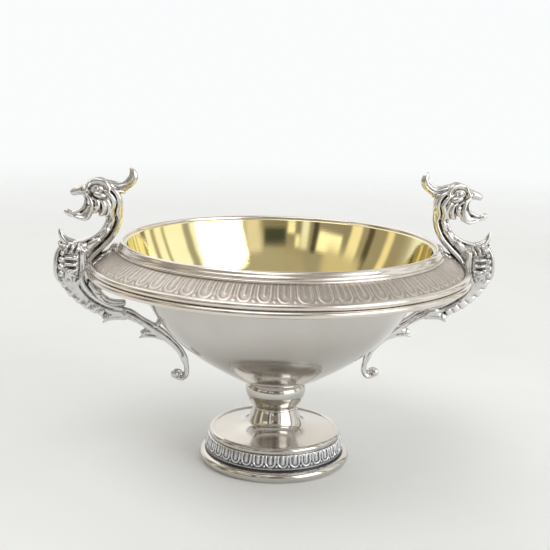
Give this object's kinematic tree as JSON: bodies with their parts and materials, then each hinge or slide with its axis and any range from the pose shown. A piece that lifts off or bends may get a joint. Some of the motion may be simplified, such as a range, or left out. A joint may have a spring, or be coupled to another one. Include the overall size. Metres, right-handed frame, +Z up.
{
  "type": "footed sugar bowl",
  "caption": "Open silver sugar bowl on a pedestal foot, gilt inside, with an ornamented overhanging border and cast griffin handles on both sides.",
  "frame": {"origin": "centre of the foot's underside, on the surface it stands on", "axes": "+Z up along the bowl's axis, X through both handles, Y across them"},
  "size_m": [0.1552, 0.133, 0.1032],
  "materials": {
    "polished_silver": "polished silver, soft bright lustre with fine wear",
    "oxidised_silver": "silver ornament, bright on top and darkened in the recesses",
    "cast_silver": "cast and chased silver, polished on top and darkened in the recesses",
    "gilt": "polished gilding"
  },
  "bodies": {
    "root": {"border_band": "oxidised_silver", "border_dots": "oxidised_silver", "border_ribs": "oxidised_silver", "border_tongues": "oxidised_silver", "bowl_shell": "polished_silver", "foot_band": "oxidised_silver", "foot_band_dots": "oxidised_silver", "foot_band_ribs": "oxidised_silver", "foot_band_tongues": "oxidised_silver", "foot_base_ring": "polished_silver", "foot_edge_wire": "polished_silver", "foot_plinth": "oxidised_silver", "foot_shell": "polished_silver", "gilt_lining": "gilt", "left_belly": "cast_silver", "left_belly_scutes": "cast_silver", "left_breast": "cast_silver", "left_breast_beads": "cast_silver", "left_breast_spur": "cast_silver", "left_breast_strap": "cast_silver", "left_crest": "cast_silver", "left_head": "cast_silver", "left_leaf_scroll": "cast_silver", "left_lower_barb": "cast_silver", "left_lower_jaw": "cast_silver", "left_neck": "cast_silver", "left_rim_lug": "cast_silver", "left_rim_palmette": "cast_silver", "left_tail": "cast_silver", "left_tail_curl": "cast_silver", "left_tail_pad": "cast_silver", "left_upper_barb": "cast_silver", "lip_moulding": "polished_silver", "lip_wire": "polished_silver", "lower_girdle_wire": "polished_silver", "right_belly": "cast_silver", "right_belly_scutes": "cast_silver", "right_breast": "cast_silver", "right_breast_beads": "cast_silver", "right_breast_spur": "cast_silver", "right_breast_strap": "cast_silver", "right_crest": "cast_silver", "right_head": "cast_silver", "right_leaf_scroll": "cast_silver", "right_lower_barb": "cast_silver", "right_lower_jaw": "cast_silver", "right_neck": "cast_silver", "right_rim_lug": "cast_silver", "right_rim_palmette": "cast_silver", "right_tail": "cast_silver", "right_tail_curl": "cast_silver", "right_tail_pad": "cast_silver", "right_upper_barb": "cast_silver", "stem_knop": "polished_silver", "under_collar": "polished_silver", "upper_girdle_wire": "polished_silver", "waist_wire": "polished_silver"}
  },
  "joints": []
}
